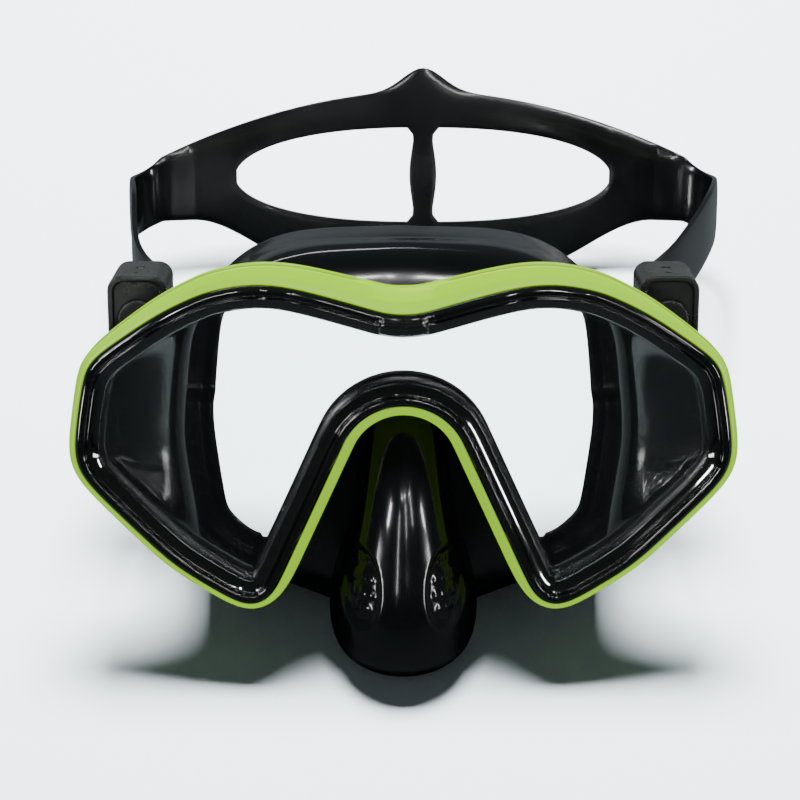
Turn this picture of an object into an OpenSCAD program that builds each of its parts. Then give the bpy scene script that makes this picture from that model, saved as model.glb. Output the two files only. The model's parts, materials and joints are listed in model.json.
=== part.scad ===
// Diving mask with one flat lens, a silicone skirt with nose pocket and a swinging strap.
// The mask is modelled upright: X to its right, Y back towards the face, Z up.
// It is then leaned back until it lies on its nose pocket, its cheek rims and its strap.

/* [Frame] */
// Half width across the bezel
half_w = 87.2; // [78:0.2:96]
// Height of the two brow bumps above the widest level
brow_h = 43.6; // [38:0.2:50]
// Height of the brow's dip at the middle
dip_h = 33.2; // [29:0.2:37]
// Depth of the two lower tips below the widest level
tip_h = 49.6; // [44:0.2:56]
// Radius of the arch over the nose
arch_r = 17; // [14:0.5:20]
// Back face of the main frame, behind the bezel line
frame_back = 12; // [11:0.2:14]

/* [Lens] */
// Thickness of the glass
lens_t = 4; // [3:0.1:5]
// Distance of the glass behind the bezel line
lens_y = 2.5; // [2.4:0.1:3]

/* [Trim] */
// Width of the coloured trim at the middle of the brow
trim_brow = 7; // [5:0.5:9]
// Width of the coloured trim at the sides
trim_side = 1.5; // [1.3:0.1:2.5]
// Width of the coloured trim round the nose
trim_nose = 2.7; // [2:0.1:4]
// Wall of the coloured trim
trim_t = 1.1; // [0.8:0.1:1.3]

/* [Skirt] */
// Wall of the silicone skirt
skirt_t = 1.6; // [1.2:0.1:2.2]
// Half width of the face rim
rim_w = 60.5; // [54:0.5:62]
// Height of the face rim above the widest level
rim_top = 47.5; // [43:0.5:52]
// Depth of the cheek rims below the widest level
rim_low = 48; // [44:0.5:52]
// Distance of the face rim behind the bezel line
rim_y = 45; // [40:0.5:50]
// Width of the seal that turns in from the rim
seal_w = 7; // [5:0.5:9]
// Depth of the nose pocket's lowest point
pocket_low = 68; // [62:0.5:74]
// How far the nose pocket stands in front of the bezel line
pocket_front = 9; // [5:0.5:14]

/* [Strap] */
// Thickness of the strap
strap_t = 2.2; // [1.8:0.1:2.6]
// Height of the side bands
band_h = 19; // [16:0.5:20]
// Distance of the back plate behind the bezel line
strap_back = 163; // [145:1:180]
// Half width between the outer bends
bend_x = 92; // [84:1:100]
// Sideways lie of the soft back plate
strap_sway = 6.5; // [0:0.5:10]
// Height of each opening in the back plate
window_h = 31; // [24:1:36]
// Half length of the pair of openings
window_w = 60; // [50:1:66]
// Width of the bar between the openings
bar_w = 6; // [4:0.5:10]

/* [Buckle] */
// Length of the buckle housing
box_l = 20; // [19:0.5:24]
// Wall of the buckle housing
box_wall = 1.8; // [1.5:0.1:2.2]
// Radius of the release button
button_r = 5.2; // [4.5:0.1:5.6]
// How far the release button stands out of the face
button_proud = 1.2; // [0.9:0.1:1.5]
// Radius of the strap roller
roller_r = 2.6; // [2.2:0.1:2.8]
// Radius of the pin that the buckle swivels on
swivel_r = 2; // [1.6:0.1:2.4]

/* [Pose] */
// Backward lean of the mask as it lies on a table
lean = 27; // [20:1:34]

/* [Hidden] */
$fn = 48;

// Fits
slip = 0.1;       // between clamped rigid rings
run = 0.05;       // radial clearance of a turning pin
soft_gap = 0.3;   // between silicone and a hard piece

// Sections of the rings: offset from the bezel line, then depth
lip_t = 0.9;                            // silicone lip in front of the glass
ring_in = -5.5;                         // inner edge of the main frame
wall_out = -0.25;                       // outer face of the main frame at the sides
wall_in = -1.65;                        // inner face of its outer wall
lens_edge = -3.3;                       // edge of the glass
bezel_in = -6.1;                        // inner edge of the bezel
bezel_back = lens_y - lip_t - 2 * slip; // back face of the bezel
lens_back = lens_y + lens_t;
shelf_y = lens_back + 2;                // front face of the frame's inner flange
leg_y = 4.9;                            // back end of the bezel's outer leg
trim_back = 9;                          // back edge of the trim

arc_n = 4;         // steps in each rounded corner
run_n = 2;         // steps along each straight
nose_arc_n = 8;    // steps in the arch over the nose
nose_run_n = 5;    // steps down each side of it

// ---- vectors and curves ----
function unit(v) = v / norm(v);
function mix(a, b, k) = a + (b - a) * k;
function clamp01(k) = min(1, max(0, k));
function ease(k) = let(c = clamp01(k)) c * c * (3 - 2 * c);
function turn(v) = [v[1], -v[0]];
// Point at k (0 to 1) on a smooth curve through the list p
function along(p, k) =
  let(n = len(p) - 1, t = clamp01(k) * n, i = min(floor(t), n - 1), f = t - i,
      a = p[max(i - 1, 0)], b = p[i], c = p[i + 1], d = p[min(i + 2, n)])
  0.5 * (2 * b + (c - a) * f + (2 * a - 5 * b + 4 * c - d) * f * f
         + (3 * b - 3 * c + d - a) * f * f * f);

// A corner is [x, z, fillet radius, steps of the straight that follows, steps of its arc].
// The rounded outline runs clockwise as seen from the front, from the top middle.
function corner_pts(a, b, c) =
  let(p = [b[0], b[1]], u = unit([a[0], a[1]] - p), w = unit([c[0], c[1]] - p),
      half = acos(u * w) / 2, set = b[2] / tan(half), mid = p + unit(u + w) * b[2] / sin(half),
      s = p + u * set, e = p + w * set, a0 = atan2(s[1] - mid[1], s[0] - mid[0]),
      a1 = atan2(e[1] - mid[1], e[0] - mid[0]), d = a1 - a0,
      sweep = d > 180 ? d - 360 : (d < -180 ? d + 360 : d))
  [for (k = [0:b[4]]) mid + b[2] * [cos(a0 + sweep * k / b[4]), sin(a0 + sweep * k / b[4])]];
function rounded(c) =
  let(n = len(c), arcs = [for (i = [0:n - 1]) corner_pts(c[(i + n - 1) % n], c[i], c[(i + 1) % n])])
  [for (i = [0:n - 1]) each concat(arcs[i],
    [for (k = [1:c[i][3] - 1]) mix(arcs[i][c[i][4]], arcs[(i + 1) % n][0], k / c[i][3])])];
// Both sides from the right half's corners, between a corner at the top and one at the nose
function whole(top, half, nose) = concat([concat(top, [run_n, arc_n])],
  [for (i = [0:5]) concat(half[i], [i == 5 ? nose_run_n : run_n, arc_n])],
  [concat(nose, [nose_run_n, nose_arc_n])],
  [for (i = [5:-1:0]) concat([-half[i][0], half[i][1], half[i][2]], [run_n, arc_n])]);

// Bezel line: the right half's corners, then the arch over the nose, then the left half's
arch_top = tip_h - 40.8;
arch_v = arch_top + arch_r * (1 / sin(24.3) - 1);
corners_r = [[39, brow_h, 38], [61, 35.2, 70], [half_w - 4.6, 20.3, 13], [half_w, -8, 15],
  [half_w - 26, -34.6, 60], [37.3, -tip_h, 7.5]];
corners = whole([0, dip_h - 1, 26], corners_r, [0, arch_v, arch_r]);
line = rounded(corners);
n = len(line);
normals = [for (i = [0:n - 1]) -turn(unit(line[(i + 1) % n] - line[(i + n - 1) % n]))];
function off(i, d) = line[i] + normals[i] * d;

// Face rim: one corner for each corner of the bezel line, so that the two lines match up
rims_r = [[24, rim_top, 60], [42, rim_top - 4, 30], [rim_w - 3, 26, 22], [rim_w, -6, 60],
  [rim_w - 4, -36, 14], [44, -rim_low, 16]];
rims = whole([0, rim_top + 1, 90], rims_r, [0, 5 - rim_low, 60]);
rim = rounded(rims);
rim_n = [for (i = [0:n - 1]) -turn(unit(rim[(i + 1) % n] - rim[(i + n - 1) % n]))];

// ---- skins ----
// Closed ring: a list of equal closed sections
module ring_skin(s) {
  a = len(s);
  m = len(s[0]);
  polyhedron(points = [for (r = s) each r],
    faces = [for (i = [0:a - 1], j = [0:m - 1])
      [i * m + j, i * m + (j + 1) % m, (i + 1) % a * m + (j + 1) % m, (i + 1) % a * m + j]]);
}
// Closed bar: a list of equal closed sections with flat ends
module bar_skin(s) {
  a = len(s);
  m = len(s[0]);
  polyhedron(points = [for (r = s) each r],
    faces = concat([[for (j = [m - 1:-1:0]) j]], [[for (j = [0:m - 1]) (a - 1) * m + j]],
      [for (i = [0:a - 2], j = [0:m - 1])
        [i * m + j, i * m + (j + 1) % m, (i + 1) * m + (j + 1) % m]],
      [for (i = [0:a - 2], j = [0:m - 1])
        [i * m + j, (i + 1) * m + (j + 1) % m, (i + 1) * m + j]]));
}
// Ring along the bezel line: sec(i) gives the section there as [offset, depth] pairs
function ring_at(i, sec) = [for (q = sec) let(p = off(i, q[0])) [p[0], q[1], p[1]]];

// ---- trim ----
// Share of the brow at a point of the line, 1 at the middle and 0 at the temples
function brow_share(i) = line[i][1] > 15 ? clamp01(1 - abs(line[i][0]) / (half_w - 2)) : 0;
function nose_share(i) = abs(line[i][0]) < 37 && line[i][1] < 12
  ? ease((37 - abs(line[i][0])) / 6) : 0;
function trim_w(i) = line[i][1] > 15
  ? mix(trim_side, trim_brow, pow(brow_share(i), 0.75))
  : mix(trim_side, trim_nose, nose_share(i));
function trim_out(i) = 0.86 * trim_w(i);
function trim_set(i) = 0.55 * trim_w(i);

module lens() {
  color([0.85, 0.93, 0.93, 0.35])
    translate([0, lens_back, 0]) rotate([90, 0, 0]) linear_extrude(lens_t)
      polygon([for (i = [0:n - 1]) off(i, lens_edge)]);
}

module front_bezel() {
  sec = [[-slip, 0.2], [-0.7, -0.7], [-1.7, -1.2], [-2.7, -0.9], [-3, -0.4], [-3.4, -0.5],
    [bezel_in, bezel_back - 0.5], [bezel_in, bezel_back], [wall_in + slip, bezel_back],
    [wall_in + slip, leg_y], [-0.35, leg_y], [-0.35, 1.4], [-slip, 1.2]];
  color([0.03, 0.03, 0.03]) ring_skin([for (i = [0:n - 1]) ring_at(i, sec)]);
}

trim_rings = [for (i = [0:n - 1]) let(a = trim_out(i), b = trim_set(i))
  ring_at(i, [[0, 0], [0, 1.2], [a - trim_t, b + 1.2], [a - trim_t, trim_back],
    [a, trim_back], [a, b + 0.3], [a - 0.4, b - 0.1]])];

module colour_trim() {
  color([0.78, 1, 0.1]) ring_skin(trim_rings);
}

module main_frame() {
  color([0.04, 0.04, 0.04]) ring_skin([for (i = [0:n - 1])
    let(a = max(wall_out, trim_out(i) - trim_t - slip))
    ring_at(i, [[wall_in, leg_y + slip], [wall_in, shelf_y], [ring_in, shelf_y],
      [ring_in, frame_back], [a, frame_back], [a, max(leg_y + slip, trim_set(i) + 1.6)],
      [wall_out, leg_y + slip]])]);
}

// ---- skirt ----
ring_cut = ring_in - 2 * slip;        // skirt's neck, inside the main frame
skirt_y = frame_back + soft_gap;      // where the skirt clears the frame
wall_n = 10;                          // steps of the wall from the neck to the rim
// Ridge of the nose pocket: down its front, under its tip and back to the under-nose rim
ridge = [[0, skirt_y, arch_top + 5], [0, skirt_y + 1, arch_top],
  [0, frame_back - 4, arch_top - 7],
  [0, -0.3 * pocket_front, -16], [0, -0.8 * pocket_front, -34], [0, -pocket_front, -48],
  [0, -0.7 * pocket_front, 6 - pocket_low], [0, 0, 1.6 - pocket_low], [0, 8, -pocket_low],
  [0, 19, 6 - pocket_low], [0, rim_y - 12, -rim_low - 7], [0, rim_y - 4, 1 - rim_low]];
// Crease where the pocket's side meets the web beside it
crease = [[12, skirt_y, arch_top + 3], [12, skirt_y + 2, arch_top - 4], [11, frame_back + 3, -10],
  [12, 15.5, -19], [15, 16, -29], [18, 17, -38], [20, 19, -46], [20, 22, -51], [19.5, 26, -53],
  [19, 31, -51.5], [19, rim_y - 9, 0.5 - rim_low], [19, rim_y - 3, 3 - rim_low]];
is_low = [for (i = [0:n - 1]) abs(line[i][0]) < 37 && line[i][1] < 12];
function is_arc(i) = line[i][1] > arch_top - 10.5 && line[i][1] < 12;
function pocket_pt(i, v) =
  let(r = along(ridge, v), c = along(crease, v), s = sign(line[i][0]), f = off(i, ring_cut),
      ang = min(90, 90 * abs(line[i][0]) / 13.5))
  is_arc(i)
  ? let(w = sin(ang), h = pow(max(cos(ang), 0.0001), 0.7))
    mix([f[0], skirt_y, f[1]], [s * c[0] * w, mix(c[1], r[1], h), mix(c[2], r[2], h)], ease(v * 10))
  : let(a = clamp01((arch_top - line[i][1]) / (arch_top + tip_h - 4)), web = mix(a, 1, 0.1),
        t = rim[i], edge = [abs(f[0]), skirt_y, f[1]],
        down = [mix(c[0], 40, web), mix(c[1], 22, web), mix(c[2], -44, web)],
        end = [abs(t[0]), rim_y - 2, t[1]],
        p = v < 0.7 ? mix(edge, [down[0], down[1], min(edge[2], down[2])], ease(v / 0.7))
          : mix([down[0], down[1], min(edge[2], down[2])], end, ease((v - 0.7) / 0.3)))
    [s * p[0], p[1], p[2]];
function rim_depth(p) = rim_y + 9 * pow(abs(p[0]) / 60, 2) * (p[1] > 0 ? 1 : 0.4);
function wall_pt(i, v) =
  let(f = off(i, ring_cut), t = rim[i], d = rim_depth(t), s = mix(f, t, 0.86), m = mix(f, t, 0.97))
  along([[f[0], skirt_y, f[1]], [s[0], skirt_y + 6, s[1]], [m[0], mix(skirt_y, d, 0.6), m[1]],
    [t[0], d - 1.5, t[1]]], v);
outer = [for (i = [0:n - 1]) [for (k = [0:wall_n])
  is_low[i] ? pocket_pt(i, k / wall_n) : wall_pt(i, k / wall_n)]];
function skin_n(i, k) = unit(cross(outer[(i + 1) % n][k] - outer[(i + n - 1) % n][k],
  outer[i][min(k + 1, wall_n)] - outer[i][max(k - 1, 0)]));
function skirt_row(i) =
  let(f = off(i, ring_cut), g = off(i, ring_cut - skirt_t), t = rim[i], rn = rim_n[i],
      e = outer[i][wall_n], d = e[1] + 1.5,
      turn_in = function(k, back) [e[0] - rn[0] * k, d + back, e[2] - rn[1] * k],
      channel = off(i, wall_in - slip), bed = off(i, lens_edge + slip),
      front = off(i, lens_edge - 1.5))
  concat([[front[0], lens_y - lip_t, front[1]], [channel[0], lens_y - lip_t, channel[1]],
      [channel[0], shelf_y - slip, channel[1]], [f[0], shelf_y - slip, f[1]]],
    outer[i],
    [turn_in(0.8, 0.2), turn_in(skirt_t + 0.4, 0), turn_in(seal_w, -2), turn_in(seal_w, -3),
      turn_in(skirt_t + 0.6, -1.6)],
    [for (k = [wall_n - 1:-1:1]) outer[i][k] - skin_n(i, k) * skirt_t],
    [[g[0], skirt_y - 0.4, g[1]], [g[0], lens_back + slip, g[1]],
      [bed[0], lens_back + slip, bed[1]], [bed[0], lens_y - slip, bed[1]],
      [front[0], lens_y - slip, front[1]]]);
skirt_rows = [for (i = [0:n - 1]) skirt_row(i)];

module skirt() {
  color([0.07, 0.08, 0.08]) ring_skin(skirt_rows);
}

// ---- buckle places, on the right side ----
// Inner face of the ear, clear of the skirt wall
ear_x = mix(half_w - 12, rim_w, 0.84) - 0.852;
ear_t = 2.2;
ear_gap = 0.3;                     // between the ear and the housing
box_x = ear_x + ear_t + ear_gap;   // inner face of the housing
box_y = 36;                        // front face of the housing
rim_lip = 0.8;                     // raised rim of that face
swivel_y = box_y + 7;
swivel_z = 24;
wrap_r = roller_r + soft_gap + strap_t / 2;   // middle of the strap round the roller
wrap_out = wrap_r + strap_t / 2;
pawl_gap = 0.4;                    // between the pawl's barrel and the strap
pawl_r = 1.4;                      // barrel of the pawl
arm_t = 1.2;                       // arms of the pawl
pawl_y = box_y + box_wall + 1.1 + pawl_r;
roller_y = pawl_y + pawl_r + pawl_gap + wrap_out;
box_w = 2 * (wrap_out + 1.1 + box_wall);      // 1.1 clear beside the strap
inner_h = band_h + 1.4;            // 0.7 clear above and below the strap
box_h = inner_h + 2 * box_wall;
mid_x = box_x + box_w / 2;
pin_r = 1.25;
pawl_pin_r = 0.8;
press = 0.02;                      // radial clearance of a pin held fast
pusher_x = 4;                      // pusher's distance from the pawl's pin
pusher_r = 0.9;
pusher_gap = 0.2;                  // between the pusher and the pawl
tooth_x = 0.82 * wrap_out;         // tooth's distance from the pawl's pin
plate_z0 = swivel_z - box_h / 2;   // bottom of the housing

module rounded_bar(w, h, r, l) {
  rotate([-90, 0, 0]) linear_extrude(l) {
    square([w - 2 * r, h], center = true);
    square([w, h - 2 * r], center = true);
    for (x = [-1, 1], z = [-1, 1]) translate([x * (w / 2 - r), z * (h / 2 - r)]) circle(r);
  }
}
module along_x(r, x0, x1) {
  translate([x0, swivel_y, swivel_z]) rotate([0, 90, 0]) cylinder(r = r, h = x1 - x0);
}
module upright_pin(r, y, z0, z1) { translate([mid_x, y, z0]) cylinder(r = r, h = z1 - z0); }

module buckle_ear() {
  foot = [for (i = [1:n / 2]) if (line[i][0] > 55 && line[i][0] < 71 && line[i][1] > 0) i];
  color([0.05, 0.05, 0.05]) difference() {
    union() {
      translate([0, frame_back + ear_t, 0]) rotate([90, 0, 0]) linear_extrude(ear_t)
        polygon(concat([for (i = foot) off(i, wall_out - 0.3)],
          [for (k = [len(foot) - 1:-1:0]) off(foot[k], ring_in + 1)]));
      translate([ear_x, 0, 0]) rotate([90, 0, 90]) linear_extrude(ear_t) hull() {
        translate([frame_back, 28.5]) square([ear_t, 4]);
        translate([swivel_y, swivel_z]) circle(5, $fn = 32);
      }
    }
    along_x(swivel_r + press, ear_x - 5, box_x);
  }
}
module swivel_pin() {
  color([0.7, 0.7, 0.72]) {
    along_x(swivel_r, ear_x - 0.4, box_x + box_wall - 0.1);
    along_x(swivel_r + 1.2, ear_x - 1.2, ear_x - 0.02);
  }
}
module buckle_housing() {
  color([0.06, 0.07, 0.07]) difference() {
    translate([mid_x, box_y - rim_lip, swivel_z]) rounded_bar(box_w, box_h, 4, box_l + rim_lip);
    translate([mid_x, box_y - 1, swivel_z]) rounded_bar(box_w - 3, box_h - 3, 3, 1);
    translate([mid_x, box_y + box_wall, swivel_z])
      rounded_bar(box_w - 2 * box_wall, inner_h, 2.4, box_l);
    translate([mid_x, box_y - 2, swivel_z]) rotate([-90, 0, 0])
      cylinder(r = button_r + slip, h = box_wall + 3);
    along_x(swivel_r + run, box_x - 1, box_x + box_wall + 1);
    upright_pin(pin_r + press, roller_y, plate_z0 - 1, plate_z0 + box_h + 1);
    upright_pin(pawl_pin_r + press, pawl_y, plate_z0 - 1, plate_z0 + box_h + 1);
  }
}
module strap_roller() {
  color([0.25, 0.25, 0.26]) difference() {
    upright_pin(roller_r, roller_y, swivel_z - inner_h / 2 + 0.3, swivel_z + inner_h / 2 - 0.3);
    upright_pin(pin_r + run, roller_y, plate_z0, plate_z0 + box_h);
  }
}
module roller_pin() {
  color([0.7, 0.7, 0.72]) upright_pin(pin_r, roller_y, plate_z0 + 0.4, plate_z0 + box_h - 0.4);
}
module pawl_pin() {
  color([0.7, 0.7, 0.72]) upright_pin(pawl_pin_r, pawl_y, plate_z0 + 0.4, plate_z0 + box_h - 0.4);
}
module pawl() {
  arm_y = pawl_y - arm_t / 2;
  low = swivel_z - inner_h / 2 + 2;
  tall = inner_h - 4;
  tip_y = roller_y - sqrt(pow(wrap_out, 2) - pow(tooth_x - arm_t / 2, 2)) - soft_gap;
  color([0.3, 0.3, 0.31]) difference() {
    union() {
      upright_pin(pawl_r, pawl_y, low, low + tall);
      translate([mid_x, arm_y, low]) cube([pusher_x + pusher_r, arm_t, tall]);
      translate([mid_x - tooth_x - arm_t / 2, arm_y, low]) cube([tooth_x + arm_t / 2, arm_t, tall]);
      translate([mid_x - tooth_x - arm_t / 2, arm_y, low]) cube([arm_t, tip_y - arm_y, tall]);
    }
    upright_pin(pawl_pin_r + run, pawl_y, plate_z0, plate_z0 + box_h);
  }
}
module pawl_spring() {
  turns = 3;
  wire = 0.25;
  coil_r = 1.1;
  seat = 0.05;
  span = pawl_y - arm_t / 2 - box_y - box_wall - 2 * wire - 2 * seat;
  color([0.75, 0.75, 0.77])
    translate([mid_x - 3.2, box_y + box_wall + wire + seat, swivel_z + button_r + 1.6])
      bar_skin([for (k = [0:turns * 12]) let(a = k * 30, y = span * k / (turns * 12))
        [for (b = [0:60:300]) [(coil_r + wire * cos(b)) * cos(a), y + wire * sin(b),
          (coil_r + wire * cos(b)) * sin(a)]]]);
}
module release_button() {
  color([0.1, 0.11, 0.11]) {
    translate([mid_x, box_y - button_proud, swivel_z]) rotate([-90, 0, 0])
      cylinder(r = button_r, h = button_proud + box_wall - 0.2);
    translate([mid_x + pusher_x, box_y, swivel_z]) rotate([-90, 0, 0])
      cylinder(r = pusher_r, h = pawl_y - arm_t / 2 - pusher_gap - box_y);
  }
}

// ---- strap ----
band_z = swivel_z + 11;                  // middle of the band at the bend
// Plan of one side: tail, turn round the roller, side band and bend
wrap = [for (a = [0:-22.5:-180]) [mid_x + wrap_r * cos(a), roller_y + wrap_r * sin(a)]];
tail_pt = [mid_x + wrap_r, roller_y + 13];
bend_y = strap_back - 12;
band = [[mid_x - wrap_r, box_y + box_l - 1], [mid_x - wrap_r + 1, box_y + box_l + 4],
  [mix(mid_x, bend_x, 0.3), 83], [mix(mid_x, bend_x, 0.66), 110],
  [mix(mid_x, bend_x, 0.92), bend_y - 16], [bend_x, bend_y - 5], [bend_x - 2, bend_y + 2],
  [bend_x - 8, bend_y + 6], [bend_x - 17, bend_y + 8]];
band_steps = 16;
// Places across the back plate, from beside a window to the middle bar
window_x = [for (k = [0:7]) window_w * sin(90 - 82 * k / 7)];
plate_x = concat([window_w + 5, window_w + 1.5], window_x, [bar_w / 2]);
function plate_y(x) = strap_back - 4 * pow(x / (bend_x - 17), 2);
half_plan = concat([tail_pt], wrap, [for (k = [0:band_steps]) along(band, k / band_steps)],
  [for (x = plate_x) [x, plate_y(x)]]);
open_from = len(half_plan) - len(window_x) - 1;
plan = concat(half_plan, [[0, strap_back]],
  [for (k = [len(half_plan) - 1:-1:0]) [-half_plan[k][0], half_plan[k][1]]]);
last = len(plan) - 1;
function band_mid(y) = mix(swivel_z, band_z, ease((y - box_y - box_l) / 90));
function on_plate(p) = ease((p[1] - bend_y + 4) / 8) * clamp01((bend_x - abs(p[0])) / 8);
function top_edge(p) = band_mid(p[1]) + band_h / 2 + on_plate(p) * (
  25 * pow(max(cos(90 * abs(p[0]) / bend_x), 0), 0.85) + 7.5 * exp(-pow(p[0] / 9, 2)));
function low_edge(p) = band_mid(p[1]) - band_h / 2 - on_plate(p) *
  (mix(13.5, -3, ease((abs(p[0]) - 34) / 40)));
function window_half(x) = window_h / 2 * sqrt(max(1 - pow(abs(x) / (window_w + 0.5), 2.4), 0.0015));
window_z = band_z + 7.5;                 // middle height of the windows
function levels(p) =
  let(h = abs(p[0]) > window_w + 1 ? 0.5 : window_half(p[0]), a = low_edge(p), b = top_edge(p),
      m = mix((a + b) / 2, window_z, on_plate(p)))
  [a, m - h, m + h, b];
function plan_n(i) = unit(turn(plan[min(i + 1, last)] - plan[max(i - 1, 0)]));
function sway(y) = strap_sway * ease((y - 62) / 80);
function strap_side(k) = [for (i = [0:last]) let(p = plan[i], q = p + plan_n(i) * k * strap_t / 2)
  [for (z = levels(p)) [q[0] + sway(p[1]), q[1], z]]];
strap_out = strap_side(1);
strap_in = strap_side(-1);
function is_open(i, j) = j == 1 && i >= open_from && i < last - open_from
  && i != len(half_plan) - 1 && i != len(half_plan);

// Sheet with two faces; cells for which is_open() is true are left out
module sheet_skin(a, b) {
  rows = len(a);
  m = len(a[0]);
  k = rows * m;
  solid = [for (i = [-1:rows - 1]) [for (j = [-1:m - 1])
    i >= 0 && i < rows - 1 && j >= 0 && j < m - 1 && !is_open(i, j)]];
  here = function(i, j) solid[i + 1][j + 1];
  polyhedron(points = concat([for (r = a) each r], [for (r = b) each r]), faces = [
    for (i = [0:rows - 2], j = [0:m - 2]) if (here(i, j)) each [
      [i * m + j, i * m + j + 1, (i + 1) * m + j + 1, (i + 1) * m + j],
      [k + (i + 1) * m + j, k + (i + 1) * m + j + 1, k + i * m + j + 1, k + i * m + j],
      if (!here(i - 1, j)) [i * m + j + 1, i * m + j, k + i * m + j, k + i * m + j + 1],
      if (!here(i + 1, j)) [(i + 1) * m + j, (i + 1) * m + j + 1, k + (i + 1) * m + j + 1,
        k + (i + 1) * m + j],
      if (!here(i, j - 1)) [i * m + j, (i + 1) * m + j, k + (i + 1) * m + j, k + i * m + j],
      if (!here(i, j + 1)) [(i + 1) * m + j + 1, i * m + j + 1, k + i * m + j + 1,
        k + (i + 1) * m + j + 1]]]);
}
module strap() {
  color([0.06, 0.06, 0.07]) sheet_skin(strap_out, strap_in);
}

// ---- placing: the origin is under the middle of the whole mask, on the table ----
extremes = concat([for (r = skirt_rows) each r], [for (r = strap_out) each r],
  [for (r = strap_in) each r], [for (r = trim_rings) each r],
  [for (i = [0:n - 1]) let(p = off(i, -1.7)) [p[0], -1.2, p[1]]]);
leaned = [for (p = extremes)
  [p[0], p[1] * cos(lean) + p[2] * sin(lean), p[2] * cos(lean) - p[1] * sin(lean)]];
function low(k) = min([for (p = leaned) p[k]]);
function high(k) = max([for (p = leaned) p[k]]);
shift = [-(low(0) + high(0)) / 2, -(low(1) + high(1)) / 2, -low(2)];
echo(shift = shift, size = [high(0) - low(0), high(1) - low(1), high(2) - low(2)]);

module place() { translate(shift) rotate([-lean, 0, 0]) children(); }
module left() { place() mirror([1, 0, 0]) children(); }

place() lens();
place() front_bezel();
place() colour_trim();
place() main_frame();
place() skirt();
place() strap();
left() buckle_ear();  // left_buckle_ear
left() swivel_pin();  // left_swivel_pin
left() buckle_housing();  // left_buckle_housing
left() strap_roller();  // left_strap_roller
left() roller_pin();  // left_roller_pin
left() pawl();  // left_pawl
left() pawl_pin();  // left_pawl_pin
left() pawl_spring();  // left_pawl_spring
left() release_button();  // left_release_button
place() buckle_ear();  // right_buckle_ear
place() swivel_pin();  // right_swivel_pin
place() buckle_housing();  // right_buckle_housing
place() strap_roller();  // right_strap_roller
place() roller_pin();  // right_roller_pin
place() pawl();  // right_pawl
place() pawl_pin();  // right_pawl_pin
place() pawl_spring();  // right_pawl_spring
place() release_button();  // right_release_button
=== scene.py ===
import json
import math

import bpy
import numpy as np
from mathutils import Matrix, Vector


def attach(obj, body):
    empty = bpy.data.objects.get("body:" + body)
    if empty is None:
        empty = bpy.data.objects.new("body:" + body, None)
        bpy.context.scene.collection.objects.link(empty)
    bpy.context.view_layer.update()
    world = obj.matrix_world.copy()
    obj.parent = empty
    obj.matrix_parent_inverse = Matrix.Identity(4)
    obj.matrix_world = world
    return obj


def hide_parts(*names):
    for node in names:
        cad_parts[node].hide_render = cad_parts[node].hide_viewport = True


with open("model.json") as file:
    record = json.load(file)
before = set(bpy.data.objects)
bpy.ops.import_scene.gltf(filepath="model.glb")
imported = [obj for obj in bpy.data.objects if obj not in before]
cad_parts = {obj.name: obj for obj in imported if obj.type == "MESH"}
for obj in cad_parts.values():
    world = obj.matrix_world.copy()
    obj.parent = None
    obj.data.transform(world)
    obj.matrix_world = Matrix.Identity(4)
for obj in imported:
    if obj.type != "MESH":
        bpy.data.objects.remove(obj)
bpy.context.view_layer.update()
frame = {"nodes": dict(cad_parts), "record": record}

# where the upright mask sits in the frame: X right, Y towards the face, Z up, in mm
lensMount = next(m for m in frame["record"]["mounts"] if m["name"] == "lens_front")
lean = math.atan2(lensMount["axis"][2], -lensMount["axis"][1])
lensSpot = (0.0, 2.5, 21.0)  # the mount's place on the upright mask


def leaned(points):
    p = np.asarray(points, float)
    c, s = math.cos(lean), math.sin(lean)
    return np.stack([p[..., 0], p[..., 1] * c + p[..., 2] * s, p[..., 2] * c - p[..., 1] * s], -1)


origin = np.array(lensMount["pos_m"]) - leaned(lensSpot) / 1000


def placed(points):
    return leaned(points) / 1000 + origin


# small maths
def mix(a, b, k):
    return a + (b - a) * k


def ease(k):
    c = np.clip(k, 0.0, 1.0)
    return c * c * (3 - 2 * c)


def unit(v):
    return v / np.maximum(np.linalg.norm(v, axis=-1, keepdims=True), 1e-9)


def along(points, k):  # smooth curve through the points, k from 0 to 1
    p = np.asarray(points, float)
    n = len(p) - 1
    t = np.clip(np.asarray(k, float), 0, 1) * n
    i = np.minimum(np.floor(t).astype(int), n - 1)
    f = (t - i)[..., None]
    a, b, c, d = p[np.maximum(i - 1, 0)], p[i], p[i + 1], p[np.minimum(i + 2, n)]
    return 0.5 * (2 * b + (c - a) * f + (2 * a - 5 * b + 4 * c - d) * f ** 2
                  + (3 * b - 3 * c + d - a) * f ** 3)


def rounded(corners):  # corners as x, z, radius, steps of the arc, steps of the straight after it
    n = len(corners)
    arcs = []
    for i in range(n):
        a, b, c = corners[i - 1], corners[i], corners[(i + 1) % n]
        p = np.array(b[:2])
        u, w = unit(np.array(a[:2]) - p), unit(np.array(c[:2]) - p)
        half = math.acos(np.clip(u @ w, -1, 1)) / 2
        mid = p + unit(u + w) * b[2] / math.sin(half)
        s, e = p + u * b[2] / math.tan(half), p + w * b[2] / math.tan(half)
        a0 = math.atan2(*(s - mid)[::-1])
        sweep = (math.atan2(*(e - mid)[::-1]) - a0 + math.pi) % (2 * math.pi) - math.pi
        angles = a0 + sweep * np.linspace(0, 1, b[3] + 1)
        arcs.append(mid + b[2] * np.stack([np.cos(angles), np.sin(angles)], -1))
    out = []
    for i in range(n):
        nextStart = arcs[(i + 1) % n][0]
        out.extend(arcs[i])
        out.extend(mix(arcs[i][-1], nextStart, k / corners[i][4]) for k in range(1, corners[i][4]))
    return np.array(out)


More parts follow.
